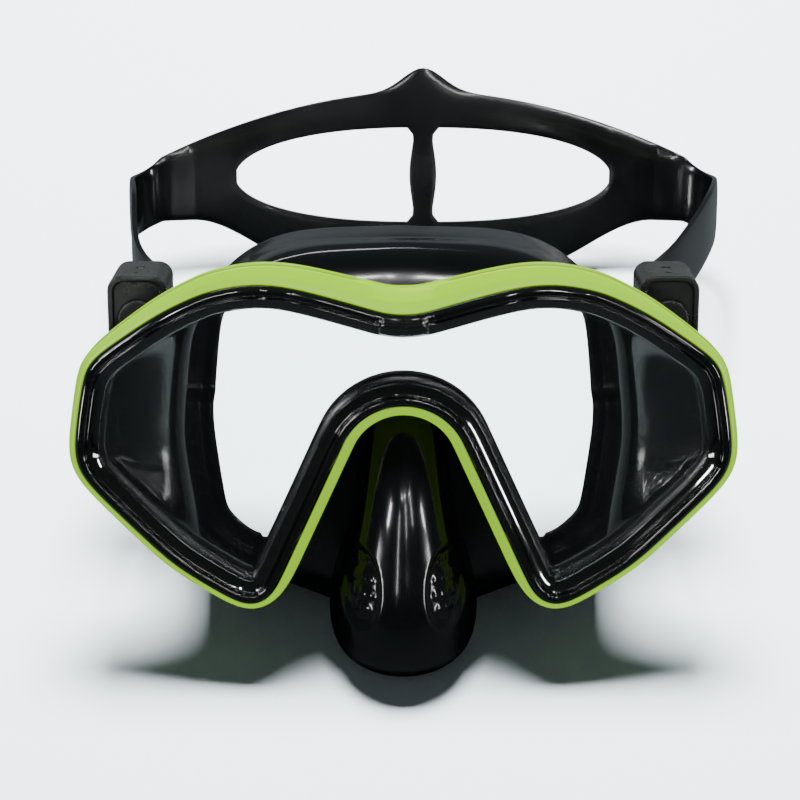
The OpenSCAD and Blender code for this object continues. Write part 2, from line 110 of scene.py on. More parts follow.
def softened(line, passes):  # takes the last corners out of a closed line
    for _ in range(passes):
        line = 0.25 * np.roll(line, 1, 0) + 0.5 * line + 0.25 * np.roll(line, -1, 0)
    return line


def lineNormals(line):  # outward, for a line that runs clockwise
    t = unit(np.roll(line, -1, 0) - np.roll(line, 1, 0))
    return np.stack([-t[:, 1], t[:, 0]], -1)


# meshes
def newPiece(name, verts, faces, body, material):
    mesh = bpy.data.meshes.new(name)
    mesh.from_pydata([tuple(v) for v in verts], [], faces)
    mesh.materials.append(material)
    mesh.update()
    mesh.polygons.foreach_set("use_smooth", [True] * len(mesh.polygons))
    piece = bpy.data.objects.new(name, mesh)
    bpy.context.collection.objects.link(piece)
    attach(piece, body)
    return piece


def gridFaces(rows, cols, closeRows, closeCols):
    faces = []
    for i in range(rows if closeRows else rows - 1):
        for j in range(cols if closeCols else cols - 1):
            a, b = (i + 1) % rows, (j + 1) % cols
            faces.append((i * cols + j, i * cols + b, a * cols + b, a * cols + j))
    return faces


def ringPiece(name, sections, body, material):
    grid = np.array(sections)
    rows, cols = grid.shape[:2]
    return newPiece(name, placed(grid.reshape(-1, 3)), gridFaces(rows, cols, True, True),
                    body, material)


# materials
mixA, mixB, mixOut = 6, 7, 2  # the colour sockets of a Mix node


def newSocket(tree, name, out, kind="NodeSocketFloat", value=None):
    s = tree.interface.new_socket(name=name, in_out="OUTPUT" if out else "INPUT", socket_type=kind)
    if value is not None:
        s.default_value = value
    return s


def mouldedGrain():  # fine unevenness of a moulded surface: a height, and a share of dullness
    tree = bpy.data.node_groups.new("mouldedGrain", "ShaderNodeTree")
    newSocket(tree, "fineScale", False, value=900.0)
    newSocket(tree, "broadScale", False, value=30.0)
    newSocket(tree, "broadShare", False, value=0.5)
    newSocket(tree, "height", True)
    newSocket(tree, "dullness", True)
    nodes, links = tree.nodes, tree.links
    entry, leave = nodes.new("NodeGroupInput"), nodes.new("NodeGroupOutput")
    coords = nodes.new("ShaderNodeTexCoord")
    fine, broad = nodes.new("ShaderNodeTexNoise"), nodes.new("ShaderNodeTexNoise")
    fine.inputs["Detail"].default_value = 2.0
    broad.inputs["Detail"].default_value = 4.0
    for noise, scale in ((fine, "fineScale"), (broad, "broadScale")):
        links.new(coords.outputs["Object"], noise.inputs["Vector"])
        links.new(entry.outputs[scale], noise.inputs["Scale"])
    blend = nodes.new("ShaderNodeMix")
    links.new(entry.outputs["broadShare"], blend.inputs["Factor"])
    links.new(fine.outputs["Fac"], blend.inputs["A"])
    links.new(broad.outputs["Fac"], blend.inputs["B"])
    links.new(blend.outputs["Result"], leave.inputs["height"])
    links.new(broad.outputs["Fac"], leave.inputs["dullness"])
    return tree


def edgeWearAndHighlight():  # 0 on open faces, up to 1 on convex edges: a mask for wear and a painted edge highlight
    tree = bpy.data.node_groups.new("edgeWearAndHighlight", "ShaderNodeTree")
    newSocket(tree, "start", False, value=0.52)
    newSocket(tree, "full", False, value=0.62)
    newSocket(tree, "wearAndHighlight", True)
    nodes, links = tree.nodes, tree.links
    entry, leave = nodes.new("NodeGroupInput"), nodes.new("NodeGroupOutput")
    geometry, spread = nodes.new("ShaderNodeNewGeometry"), nodes.new("ShaderNodeMapRange")
    links.new(geometry.outputs["Pointiness"], spread.inputs["Value"])
    links.new(entry.outputs["start"], spread.inputs["From Min"])
    links.new(entry.outputs["full"], spread.inputs["From Max"])
    links.new(spread.outputs["Result"], leave.inputs["wearAndHighlight"])
    return tree


def roundedEdge():  # a normal that rolls over sharp edges
    tree = bpy.data.node_groups.new("roundedEdge", "ShaderNodeTree")
    newSocket(tree, "radius", False, value=0.0004)
    newSocket(tree, "normal", True, kind="NodeSocketVector")
    nodes, links = tree.nodes, tree.links
    entry, leave = nodes.new("NodeGroupInput"), nodes.new("NodeGroupOutput")
    roll = nodes.new("ShaderNodeBevel")
    roll.samples = 6
    links.new(entry.outputs["radius"], roll.inputs["Radius"])
    links.new(roll.outputs["Normal"], leave.inputs["normal"])
    return tree


grainTree = mouldedGrain()
edgeWearHighlightTree = edgeWearAndHighlight()
edgeTree = roundedEdge()


def mouldedMaterial(look):  # glossy or satin moulded material with grain, dull patches, and convex edges lightened for wear and a painted edge highlight
    mat = bpy.data.materials.new(look["name"])
    mat.use_nodes = True
    nodes, links = mat.node_tree.nodes, mat.node_tree.links
    shader = nodes["Principled BSDF"]
    for key, value in look["shader"].items():
        shader.inputs[key].default_value = value
    grain = nodes.new("ShaderNodeGroup")
    grain.node_tree = grainTree
    for key in ("fineScale", "broadScale", "broadShare"):
        grain.inputs[key].default_value = look[key]
    wearAndHighlight = nodes.new("ShaderNodeGroup")
    wearAndHighlight.node_tree = edgeWearHighlightTree
    # convex edges take the lighter colour, for wear and as a painted edge highlight
    tint = nodes.new("ShaderNodeMix")
    tint.data_type = "RGBA"
    tint.inputs[mixA].default_value = look["colour"]
    tint.inputs[mixB].default_value = look["wornAndHighlitColour"]
    share = nodes.new("ShaderNodeMath")
    share.operation = "MULTIPLY"
    share.inputs[1].default_value = look["wearAndHighlightShare"]
    links.new(wearAndHighlight.outputs["wearAndHighlight"], share.inputs[0])
    links.new(share.outputs["Value"], tint.inputs["Factor"])
    patches = nodes.new("ShaderNodeMix")
    patches.data_type = "RGBA"
    patches.inputs[mixB].default_value = look["patchColour"]
    spread = nodes.new("ShaderNodeMapRange")
    spread.inputs["From Min"].default_value = 0.35
    spread.inputs["From Max"].default_value = 0.75
    spread.inputs["To Max"].default_value = look["patchShare"]
    links.new(grain.outputs["dullness"], spread.inputs["Value"])
    links.new(spread.outputs["Result"], patches.inputs["Factor"])
    links.new(tint.outputs[mixOut], patches.inputs[mixA])
    links.new(patches.outputs[mixOut], shader.inputs["Base Color"])
    rough = nodes.new("ShaderNodeMapRange")
    rough.inputs["From Min"].default_value = 0.3
    rough.inputs["From Max"].default_value = 0.7
    rough.inputs["To Min"].default_value = look["roughLow"]
    rough.inputs["To Max"].default_value = look["roughHigh"]
    links.new(grain.outputs["dullness"], rough.inputs["Value"])
    links.new(rough.outputs["Result"], shader.inputs["Roughness"])
    bump = nodes.new("ShaderNodeBump")
    bump.inputs["Strength"].default_value = look["bump"]
    bump.inputs["Distance"].default_value = look["bumpDepth"]
    links.new(grain.outputs["height"], bump.inputs["Height"])
    if look.get("paintedGlow"):  # painted glow: the trim emits light so it stays bright where shade falls; seen, weaker in reflections, and it lights nothing round it
        path, hide = nodes.new("ShaderNodeLightPath"), nodes.new("ShaderNodeMath")
        hide.operation = "MULTIPLY_ADD"
        hide.inputs[1].default_value = look["reflectionDim"]
        links.new(path.outputs["Is Glossy Ray"], hide.inputs[0])
        links.new(path.outputs["Is Diffuse Ray"], hide.inputs[2])
        paintedGlow = nodes.new("ShaderNodeMapRange")
        paintedGlow.inputs["To Min"].default_value = look["paintedGlow"]
        paintedGlow.inputs["To Max"].default_value = 0.0
        links.new(hide.outputs["Value"], paintedGlow.inputs["Value"])
        links.new(paintedGlow.outputs["Result"], shader.inputs["Emission Strength"])
    if look.get("edgeRadius"):
        edge = nodes.new("ShaderNodeGroup")
        edge.node_tree = edgeTree
        edge.inputs["radius"].default_value = look["edgeRadius"]
        links.new(edge.outputs["normal"], bump.inputs["Normal"])
    links.new(bump.outputs["Normal"], shader.inputs["Normal"])
    return mat


def grey(v, a=1.0):
    return (v, v, v, a)


silicone = mouldedMaterial({
    "name": "black_silicone", "colour": (0.0014, 0.0018, 0.0018, 1), "wornAndHighlitColour": grey(0.005),
    "wearAndHighlightShare": 0.4, "patchColour": (0.0022, 0.0026, 0.0036, 1), "patchShare": 0.5,
    "shader": {"Specular IOR Level": 0.3, "Coat Weight": 0.1, "Coat Roughness": 0.04},
    "fineScale": 700.0, "broadScale": 24.0, "broadShare": 0.8,
    "roughLow": 0.1, "roughHigh": 0.18, "bump": 0.06, "bumpDepth": 0.0003})
glossBlack = mouldedMaterial({
    "name": "gloss_black", "colour": (0.001, 0.0016, 0.0011, 1), "wornAndHighlitColour": grey(0.006),
    "wearAndHighlightShare": 0.25, "patchColour": (0.0018, 0.0024, 0.0019, 1), "patchShare": 0.4,
    "shader": {"Specular IOR Level": 0.55, "Coat Weight": 0.6, "Coat Roughness": 0.02},
    "fineScale": 1200.0, "broadScale": 40.0, "broadShare": 0.7,
    "roughLow": 0.04, "roughHigh": 0.08, "bump": 0.015, "bumpDepth": 0.0002})
# the trim's emission is a painted glow that keeps it bright on faces in shade
lime = mouldedMaterial({
    "name": "lime_trim", "colour": (0.065, 0.14, 0.0, 1), "wornAndHighlitColour": (0.085, 0.17, 0.0, 1),
    "wearAndHighlightShare": 0.5, "patchColour": (0.055, 0.125, 0.0, 1), "patchShare": 0.5,
    "shader": {"Specular IOR Level": 0.35, "Emission Color": (0.48, 1.0, 0.0, 1)}, "paintedGlow": 0.62,
    "reflectionDim": 0.6,
    "fineScale": 1100.0, "broadScale": 60.0, "broadShare": 0.5,
    "roughLow": 0.3, "roughHigh": 0.42, "bump": 0.05, "bumpDepth": 0.0003})
buckleBlack = mouldedMaterial({
    "name": "buckle_black", "colour": (0.003, 0.0042, 0.0037, 1), "wornAndHighlitColour": grey(0.012),
    "wearAndHighlightShare": 0.6, "patchColour": (0.005, 0.0065, 0.006, 1), "patchShare": 0.5,
    "shader": {"Specular IOR Level": 0.5}, "edgeRadius": 0.0007,
    "fineScale": 1600.0, "broadScale": 60.0, "broadShare": 0.3,
    "roughLow": 0.22, "roughHigh": 0.34, "bump": 0.12, "bumpDepth": 0.0003})
greyPlastic = mouldedMaterial({
    "name": "grey_plastic", "colour": (0.05, 0.05, 0.054, 1), "wornAndHighlitColour": grey(0.1),
    "wearAndHighlightShare": 0.5, "patchColour": (0.07, 0.07, 0.074, 1), "patchShare": 0.5,
    "shader": {"Specular IOR Level": 0.4}, "edgeRadius": 0.0003,
    "fineScale": 1600.0, "broadScale": 80.0, "broadShare": 0.3,
    "roughLow": 0.4, "roughHigh": 0.5, "bump": 0.15, "bumpDepth": 0.0003})
steel = mouldedMaterial({
    "name": "steel", "colour": (0.62, 0.62, 0.64, 1), "wornAndHighlitColour": grey(0.8),
    "wearAndHighlightShare": 0.4, "patchColour": (0.5, 0.5, 0.52, 1), "patchShare": 0.5,
    "shader": {"Metallic": 1.0}, "edgeRadius": 0.0002,
    "fineScale": 3000.0, "broadScale": 200.0, "broadShare": 0.3,
    "roughLow": 0.18, "roughHigh": 0.32, "bump": 0.1, "bumpDepth": 0.0002})


glassLook = {"tint": (0.97, 1.0, 0.99, 1), "smudgeScale": 45.0, "smudgeFrom": 0.55, "smudgeTo": 0.8,
             "smudgeRough": 0.03, "ior": 1.45}


def clearGlass():  # lets shadow rays through, so that the table shows bright behind it
    mat = bpy.data.materials.new("clear_glass")
    mat.use_nodes = True
    nodes, links = mat.node_tree.nodes, mat.node_tree.links
    shader = nodes["Principled BSDF"]
    shader.inputs["Base Color"].default_value = glassLook["tint"]
    smudges, film = nodes.new("ShaderNodeGroup"), nodes.new("ShaderNodeMapRange")
    smudges.node_tree = grainTree
    smudges.inputs["broadScale"].default_value = glassLook["smudgeScale"]
    film.inputs["From Min"].default_value = glassLook["smudgeFrom"]
    film.inputs["From Max"].default_value = glassLook["smudgeTo"]
    film.inputs["To Max"].default_value = glassLook["smudgeRough"]
    links.new(smudges.outputs["dullness"], film.inputs["Value"])
    links.new(film.outputs["Result"], shader.inputs["Roughness"])
    shader.inputs["IOR"].default_value = glassLook["ior"]
    shader.inputs["Transmission Weight"].default_value = 1.0
    clear, pick = nodes.new("ShaderNodeBsdfTransparent"), nodes.new("ShaderNodeMixShader")
    path = nodes.new("ShaderNodeLightPath")
    links.new(path.outputs["Is Shadow Ray"], pick.inputs["Fac"])
    links.new(shader.outputs["BSDF"], pick.inputs[1])
    links.new(clear.outputs["BSDF"], pick.inputs[2])
    links.new(pick.outputs["Shader"], nodes["Material Output"].inputs["Surface"])
    return mat


glass = clearGlass()
print("materials made")

# bezel line and face rim
bezelLine = {
    "halfWidth": 87.2, "browHeight": 43.6, "dipHeight": 33.2, "tipDepth": 49.6, "archRadius": 17.0,
    "archSlope": 24.3, "arcSteps": 10, "runSteps": 6, "noseArcSteps": 96, "noseRunSteps": 30,
    "topSteps": 56, "browFrom": 15, "noseHalf": 37, "noseTop": 12, "softPasses": 12}
b = bezelLine
archTop = b["tipDepth"] - 40.8
archCorner = archTop + b["archRadius"] * (1 / math.sin(math.radians(b["archSlope"])) - 1)


def wholeLine(top, half, nose):  # both sides from the right half's corners
    arc, run, noseRun = b["arcSteps"], b["runSteps"], b["noseRunSteps"]
    right = [(*c, arc, noseRun if i == len(half) - 1 else run) for i, c in enumerate(half)]
    left = [(-c[0], c[1], c[2], arc, run) for c in reversed(half)]
    return rounded([(*top, b["topSteps"], run)] + right + [(*nose, b["noseArcSteps"], noseRun)] + left)


w = b["halfWidth"]
line = wholeLine((0, b["dipHeight"] - 1, 26),
                 [(39, b["browHeight"], 38), (61, 35.2, 70), (w - 4.6, 20.3, 13), (w, -8, 15),
                  (w - 26, -34.6, 60), (37.3, -b["tipDepth"], 7.5)], (0, archCorner, b["archRadius"]))
line = softened(line, b["softPasses"])
normals = lineNormals(line)
count = len(line)

faceRim = {"halfWidth": 60.5, "top": 47.5, "low": 48.0, "depth": 45.0}
r = faceRim
rim = wholeLine((0, r["top"] + 1, 90),
                [(24, r["top"], 60), (42, r["top"] - 4, 30), (r["halfWidth"] - 3, 26, 22),
                 (r["halfWidth"], -6, 60), (r["halfWidth"] - 4, -36, 14), (44, -r["low"], 16)],
                (0, 5 - r["low"], 60))
rim = softened(rim, b["softPasses"])
rimNormals = lineNormals(rim)


def offLine(d):
    return line + normals * np.asarray(d).reshape(-1, 1)


def ringAt(i, section):  # section points are offset from the bezel line, and depth
    s = np.asarray(section)
    p = line[i] + normals[i] * s[:, :1]
    return np.stack([p[:, 0], s[:, 1], p[:, 1]], -1)


def section(corners, steps=3):  # rounds a section's corners, each given as offset, depth, radius
    return rounded([(*c, steps, 1) for c in corners])


# coloured trim
trim = {"brow": 7.0, "side": 1.5, "nose": 2.7, "wall": 1.1, "back": 9.0, "edgeRound": 0.35,
        "notchHalf": 9.0, "notchDepth": 1.0}
x, z = np.abs(line[:, 0]), line[:, 1]
onBrow = z > b["browFrom"]
isLow = (x < b["noseHalf"]) & (z < b["noseTop"])  # the two sides and the arc over the nose
browShare = np.where(onBrow, np.clip(1 - x / (w - 2), 0, 1), 0)
noseShare = np.where(isLow, ease((b["noseHalf"] - x) / 6), 0)
trimWidth = np.where(onBrow, mix(trim["side"], trim["brow"], browShare ** 0.75),
                     mix(trim["side"], trim["nose"], noseShare))
trimWidth = softened(trimWidth, 10)
notch = np.where(onBrow, ease((trim["notchHalf"] + 1.2 - x) / 1.6), 0) * trim["notchDepth"]
trimSections = []
for i in range(count):
    a, s, t, e = 0.86 * trimWidth[i], 0.55 * trimWidth[i], trim["wall"], trim["edgeRound"]
    cut = notch[i]
    trimSections.append(ringAt(i, section([
        (0.0, 1.2, 0.1), (0.0, 0.02, 0.25), (0.5 * a, 0.42 * s, 2.0), (a - cut, s - 0.1, e),
        (a, s + 0.5 + cut, e), (a, trim["back"], 0.3), (a - t, trim["back"], 0.2),
        (a - t, s + 1.5, 0.2)])))
trimPiece = ringPiece("colour_trim_ring", trimSections, "mask", lime)
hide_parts("colour_trim")
print("trim made")

# front bezel and main frame
browTab = {"half": 5.6, "ramp": 0.7, "dip": 0.55, "dipWidth": 0.5, "rise": 0.8}


def bezelAt(i):  # the tab fills the groove at the middle of the brow, between two small dips
    tab = onBrow[i] * float(ease((browTab["half"] - x[i]) / browTab["ramp"]))
    dip = onBrow[i] * browTab["dip"] * math.exp(
        -((x[i] - browTab["half"] - 0.3) / browTab["dipWidth"]) ** 2)
    return section([
        (-0.12, 1.25, 0.1), (-0.12, -0.1, 0.5), (-0.9, -1.2 + dip, 0.7), (-2.5, -1.2 + dip, 0.5),
        (-2.85, mix(-0.35, -1.2, tab) + dip, 0.12), (-3.15, mix(-0.35, -1.2, tab) + dip, 0.12),
        (-3.35, mix(-0.75, -1.15, tab) + dip, 0.25),
        (-5.2, 0.4 - browTab["rise"] * tab + 0.5 * dip, 0.4), (-6.05, 0.95, 0.15),
        (-6.05, 1.38, 0.1), (-1.55, 1.38, 0.1), (-1.55, 4.85, 0.2), (-0.37, 4.85, 0.2),
        (-0.37, 1.45, 0.1)], 4)


bezelPiece = ringPiece("front_bezel_ring", [ringAt(i, bezelAt(i)) for i in range(count)],
                       "mask", glossBlack)
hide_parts("front_bezel")

frameSections = []
for i in range(count):
    a = max(-0.28, 0.86 * trimWidth[i] - trim["wall"] - 0.13)
    front = max(5.02, 0.55 * trimWidth[i] + 1.62)
    frameSections.append(ringAt(i, section([
        (-1.68, 5.02, 0.2), (-1.68, 8.55, 0.2), (-5.45, 8.55, 0.4), (-5.45, 11.95, 0.8),
        (a, 11.95, min(0.8, a + 1.2)), (a, front, 0.2), (-0.3 if a > -0.1 else -0.6, 5.02, 0.05)])))
framePiece = ringPiece("main_frame_ring", frameSections, "mask", glossBlack)
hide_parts("main_frame")
print("frame rings made")

# skirt with nose pocket
skirt = {"wall": 1.6, "neck": -5.7, "start": 12.3, "front": 7.35, "low": 67.6,
         "restFrom": 0.3, "restTo": 0.52, "noseEnd": 19.4, "arcReach": 10.5, "arcHalf": 13.5,
         "relaxPasses": 6, "normalPasses": 6, "edgeRows": 6, "rimBend": 9, "rimBendLow": 0.4}
s = skirt
d, low, rimLow, start = r["depth"], s["low"], r["low"], s["start"]
ridge = [(0, start, archTop + 5), (0, start + 1, archTop), (0, 8, archTop - 7),
         (0, -0.3 * s["front"], -16), (0, -0.8 * s["front"], -34), (0, -s["front"], -48),
         (0, -0.7 * s["front"], 6 - low), (0, 0, 1.6 - low), (0, 8, -low), (0, 19, 6 - low),
         (0, d - 12, -rimLow - 7), (0, d - 4, 1 - rimLow)]
crease = [(12, start, archTop + 3), (12, start + 2, archTop - 4), (11, 15, -10), (12, 15.5, -19),
          (15, 16, -29), (18, 17, -38), (20, 19, -46), (20, 22, -51), (19.5, 26, -53),
          (19, 31, -51.5), (19, d - 9, 0.5 - rimLow), (19, d - 3, 3 - rimLow)]
v = np.concatenate([np.linspace(0, s["restFrom"], 29), np.linspace(s["restFrom"], s["restTo"], 81)[1:],
                    np.linspace(s["restTo"], 1, 41)[1:]])  # closer rows where the finger rests are
ridgeLine, creaseLine = along(ridge, v), along(crease, v)
neck = offLine(s["neck"])
outer = np.zeros((count, len(v), 3))
isArc = isLow & (z > archTop - s["arcReach"])
sideRows = isLow & ~isArc  # these rows share the rim's lower edge beside the nose
nearX, farX = np.abs(rim[sideRows, 0]).min(), np.abs(rim[sideRows, 0]).max()
lowRim = rim[(rim[:, 0] > 0) & (rim[:, 1] < -30)]
lowRim = lowRim[np.argsort(lowRim[:, 0])]
for i in range(count):
    side, f, t = np.sign(line[i, 0]), neck[i], rim[i]
    if isArc[i]:
        turn = math.radians(min(90, 90 * x[i] / s["arcHalf"]))
        across, up = math.sin(turn), max(math.cos(turn), 1e-4) ** 0.7
        p = np.stack([side * creaseLine[:, 0] * across, mix(creaseLine[:, 1], ridgeLine[:, 1], up),
                      mix(creaseLine[:, 2], ridgeLine[:, 2], up)], -1)
        outer[i] = mix(np.array([f[0], start, f[1]]), p, ease(v * 10)[:, None])
    elif isLow[i]:
        share = np.clip((archTop - z[i]) / (archTop + b["tipDepth"] - 4), 0, 1)
        web = mix(share, 1, 0.1)
        edge = np.array([abs(f[0]), start, f[1]])
        down = np.stack([mix(creaseLine[:, 0], 40, web), mix(creaseLine[:, 1], 22, web),
                         np.minimum(edge[2], mix(creaseLine[:, 2], -44, web))], -1)
        endX = mix(s["noseEnd"], farX, (abs(t[0]) - nearX) / (farX - nearX))
        end = np.array([endX, d - 2.5, np.interp(endX, lowRim[:, 0], lowRim[:, 1])])
        p = np.where((v < 0.7)[:, None], mix(edge, down, ease(v / 0.7)[:, None]),
                     mix(down, end, ease((v - 0.7) / 0.3)[:, None]))
        outer[i] = p * np.array([side, 1, 1])
    else:
        depth = d + s["rimBend"] * (abs(t[0]) / 60) ** 2 * (1 if t[1] > 0 else s["rimBendLow"])
        near, far = mix(f, t, 0.86), mix(f, t, 0.97)
        outer[i] = along([(f[0], start, f[1]), (near[0], start + 6, near[1]),
                          (far[0], mix(start, depth, 0.6), far[1]), (t[0], depth - 1.5, t[1])], v)
for _ in range(s["relaxPasses"]):  # relax the sheet a little, its two edges kept
    soft = 0.25 * (np.roll(outer, 1, 0) + np.roll(outer, -1, 0) + outer[:, [0, *range(len(v) - 1)]]
                   + outer[:, [*range(1, len(v)), len(v) - 1]])
    outer[:, 1:-1] = mix(outer[:, 1:-1], soft[:, 1:-1], 0.5)


def sheetNormals(g):
    du = np.roll(g, -1, 0) - np.roll(g, 1, 0)
    dv = np.concatenate([g[:, 1:], g[:, -1:]], 1) - np.concatenate([g[:, :1], g[:, :-1]], 1)
    return unit(np.cross(du, dv))


outward = sheetNormals(outer)
edgeRows = s["edgeRows"]  # the last rows lie too close together to have normals of their own
outward[:, -edgeRows:] = outward[:, -edgeRows - 1:-edgeRows]
for _ in range(s["normalPasses"]):
    outward = unit(np.roll(outward, 1, 0) + 2 * outward + np.roll(outward, -1, 0))
inner = outer - outward * s["wall"]

sidePanel = {"corners": ((64.5, -11.0), (68.5, -27.0), (76.5, -7.0)), "sink": 0.6, "edge": 0.9}
inside = np.full(inner.shape[:2], 99.0)  # how far inside the three-cornered panel each point is
for k in range(3):
    a, c = np.array(sidePanel["corners"][k]), np.array(sidePanel["corners"][(k + 1) % 3])
    across = unit(np.array([-(c - a)[1], (c - a)[0]]))
    inside = np.minimum(inside, (np.abs(inner[..., 0]) - a[0]) * across[0]
                        + (inner[..., 2] - a[1]) * across[1])
inner = inner + outward * (sidePanel["sink"] * ease(inside / sidePanel["edge"]))[..., None]

fingerRest = {"x": 11.4, "z": -40.3, "wide": 4.9, "high": 10.2, "sink": 1.1, "edge": 0.17,
              "bumpRows": ((7.4, 2), (2.8, 3), (-1.4, 3), (-5.4, 2)), "bumpGap": 2.3,
              "bumpRadius": 0.85, "bumpRise": 0.3}
fr = fingerRest
front = np.broadcast_to(isArc[:, None], outer.shape[:2]) & (outer[..., 1] < 8)
for side in (-1, 1):
    dx, dz = outer[..., 0] * side - fr["x"], outer[..., 2] - fr["z"]
    reach = np.sqrt((dx / fr["wide"]) ** 2 + (dz / fr["high"]) ** 2)
    sink = np.where(front, ease((1 + fr["edge"] - reach) / (2 * fr["edge"])) * fr["sink"], 0)
    for rowZ, number in fr["bumpRows"]:
        for k in range(number):
            bx = (k - (number - 1) / 2) * fr["bumpGap"]
            away = np.sqrt((dx - bx) ** 2 + ((dz - rowZ) / mix(1.1, 1.9, dz > rowZ)) ** 2)
            sink = sink - np.where(front, ease(1.4 - away / fr["bumpRadius"]), 0) * fr["bumpRise"]
    outer = outer - outward * sink[..., None]
    inner = inner - outward * np.maximum(sink, 0)[..., None]

channel, bed, lip = offLine(-1.75), offLine(-3.2), offLine(-4.8)


def flat(points, depth):
    return np.stack([points[:, 0], np.full(count, depth), points[:, 1]], -1)[:, None]


last = outer[:, -1]
rimBack = last[:, 1] + 1.5


def turnIn(inward, back):
    p = np.stack([last[:, 0], last[:, 2]], -1) - rimNormals * inward
    return np.stack([p[:, 0], rimBack + back, p[:, 1]], -1)[:, None]


neckIn = offLine(s["neck"] - s["wall"])
sealCurve = [turnIn(a, back) for a, back in (
    (0.05, -0.7), (0.3, -0.15), (0.8, 0.15), (1.5, 0.1), (2.4, -0.1), (3.6, -0.6),
    (5.0, -1.2), (6.3, -1.8), (7.0, -2.3), (7.05, -2.7), (6.8, -3.0), (5.4, -2.6), (3.8, -2.1),
    (2.8, -1.9), (2.2, -2.2))]
skirtGrid = np.concatenate(
    [flat(lip, 1.62), flat(mix(lip, channel, 0.9), 1.62), flat(channel, 1.8), flat(channel, 8.2),
     flat(mix(channel, neck, 0.1), 8.4), flat(mix(channel, neck, 0.9), 8.4), flat(neck, 8.6)]
    + [outer] + sealCurve + [inner[:, :0:-1]]
    + [flat(neckIn, 11.8), flat(neckIn, 6.9), flat(mix(neckIn, bed, 0.1), 6.62), flat(bed, 6.62),
       flat(bed, 2.38), flat(lip, 2.38)], 1)
skirtPiece = ringPiece("silicone_skirt", skirtGrid, "mask", silicone)
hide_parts("skirt")
print("skirt made", skirtGrid.shape)

# strap
strap = {"thick": 2.2, "band": 19.0, "back": 163.0, "bend": 92.0, "sway": 6.5, "windowHigh": 31.0,
         "windowHalf": 60.0, "bar": 2.9, "barBulge": 1.5, "middleX": 72.5,
         "boxEnd": 56.0, "swivelZ": 24.0, "wrapRadius": 4.0, "rollerY": 47.2, "edgeRound": 0.6,
         "edgeSteps": 3, "edgeAngle": 50, "windowSteps": 56}
q = strap
bandZ, bendY, mid = q["swivelZ"] + 11, q["back"] - 12, q["middleX"]
angles = np.radians(np.linspace(0, -180, 25))
wrap = [(mid + q["wrapRadius"] * math.cos(a), q["rollerY"] + q["wrapRadius"] * math.sin(a))
        for a in angles]
tail = [(mid + q["wrapRadius"], q["rollerY"] + t) for t in (13, 10, 7, 4, 2)]
bandPath = [(mid - q["wrapRadius"], q["boxEnd"] - 1), (mid - q["wrapRadius"] + 1, q["boxEnd"] + 4),
            (mix(mid, q["bend"], 0.3), 83), (mix(mid, q["bend"], 0.66), 110),
            (mix(mid, q["bend"], 0.92), bendY - 16), (q["bend"], bendY - 5),
            (q["bend"] - 2, bendY + 2), (q["bend"] - 8, bendY + 6), (q["bend"] - 17, bendY + 8)]
bandCurve = [tuple(p) for p in along(bandPath, np.linspace(0, 1, 90))]
halfPlan = np.array(tail + wrap + [(mid - q["wrapRadius"], 50.0), (mid - q["wrapRadius"], 53.0)]
                    + bandCurve)


def plateY(px):
    return q["back"] - 4 * (px / (q["bend"] - 17)) ** 2


def bandMid(y):
    return mix(q["swivelZ"], bandZ, ease((y - q["boxEnd"]) / 90))


def onPlate(px, y):
    return ease((y - bendY + 4) / 8) * np.clip((q["bend"] - np.abs(px)) / 8, 0, 1)


def topEdge(px, y):
    return bandMid(y) + q["band"] / 2 + onPlate(px, y) * (
        25 * np.maximum(np.cos(np.radians(90 * np.abs(px) / q["bend"])), 0) ** 0.85
        + 7.5 * np.exp(-(px / 9) ** 2))


def lowEdge(px, y):
    return bandMid(y) - q["band"] / 2 - onPlate(px, y) * mix(13.5, -3, ease((np.abs(px) - 34) / 40))


def windowHalf(px):
    k = np.clip(1 - (np.abs(px) / (q["windowHalf"] + 0.5)) ** 2.4, 0.0004, 1)
    return q["windowHigh"] / 2 * np.sqrt(k)


lowSteps, midSteps, topSteps = 6, 14, 6
levelShares = np.concatenate([np.linspace(0, 1, lowSteps + 1), np.linspace(1, 2, midSteps + 1)[1:],
                              np.linspace(2, 3, topSteps + 1)[1:]])
levels = len(levelShares)
midShare = np.clip(levelShares - 1, 0, 1)
barEdge = q["bar"] + q["barBulge"] * np.sin(np.pi * midShare) ** 2 + 2.2 * np.clip(
    1 - np.minimum(midShare, 1 - midShare) / 0.12, 0, 1) ** 2
columns = []  # each is x and y for every level
for p in halfPlan:
    columns.append((np.full(levels, p[0]), np.full(levels, p[1])))
plateStart = halfPlan[-1][0]
for px in np.linspace(plateStart, q["windowHalf"], 9)[1:-1]:
    columns.append((np.full(levels, px), np.full(levels, plateY(px))))
windowSteps = q["windowSteps"]
for k in range(windowSteps + 1):
    px = mix(q["windowHalf"], barEdge, 1 - math.cos(math.radians(90 * k / windowSteps)))
    columns.append((px, plateY(px)))
for share in (0.66, 0.33):
    columns.append((barEdge * share, plateY(barEdge * share)))
mirrored = [(-px, py) for px, py in columns[::-1]]
firstOpen = len(columns) - 3 - windowSteps
allColumns = columns + [(np.zeros(levels), np.full(levels, q["back"]))] + mirrored
total = len(allColumns)


def isOpen(i, j):  # cell between columns i and i + 1, levels j and j + 1
    inWindow = firstOpen <= i < firstOpen + windowSteps
    inMirror = firstOpen <= total - 2 - i < firstOpen + windowSteps
    return (inWindow or inMirror) and lowSteps <= j < lowSteps + midSteps


